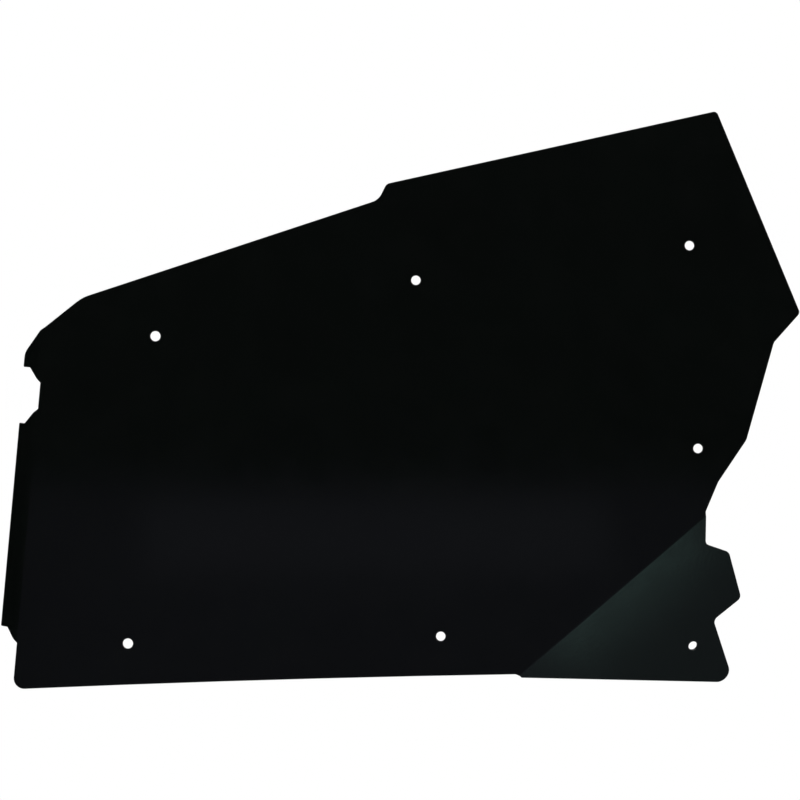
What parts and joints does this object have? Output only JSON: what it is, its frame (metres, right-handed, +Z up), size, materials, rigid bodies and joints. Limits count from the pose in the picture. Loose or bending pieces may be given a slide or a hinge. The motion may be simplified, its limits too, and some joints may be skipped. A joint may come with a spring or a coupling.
{
  "type": "kick plate",
  "caption": "Flat black sheet-metal kick plate with plain bolt holes, two tabs folded back along its left edge and a corner flange folded back at lower right.",
  "frame": {"origin": "axis of the lower left bolt hole, at the back face of the panel", "axes": "+X to the right along the panel's length, +Z up its height, +Y out of its back; the front face looks along -Y"},
  "size_m": [0.6113, 0.0536, 0.4408],
  "materials": {
    "powder_coated_panel": "satin black powder coat on sheet aluminium"
  },
  "bodies": {
    "root": {"kick_plate": "powder_coated_panel"}
  },
  "joints": []
}
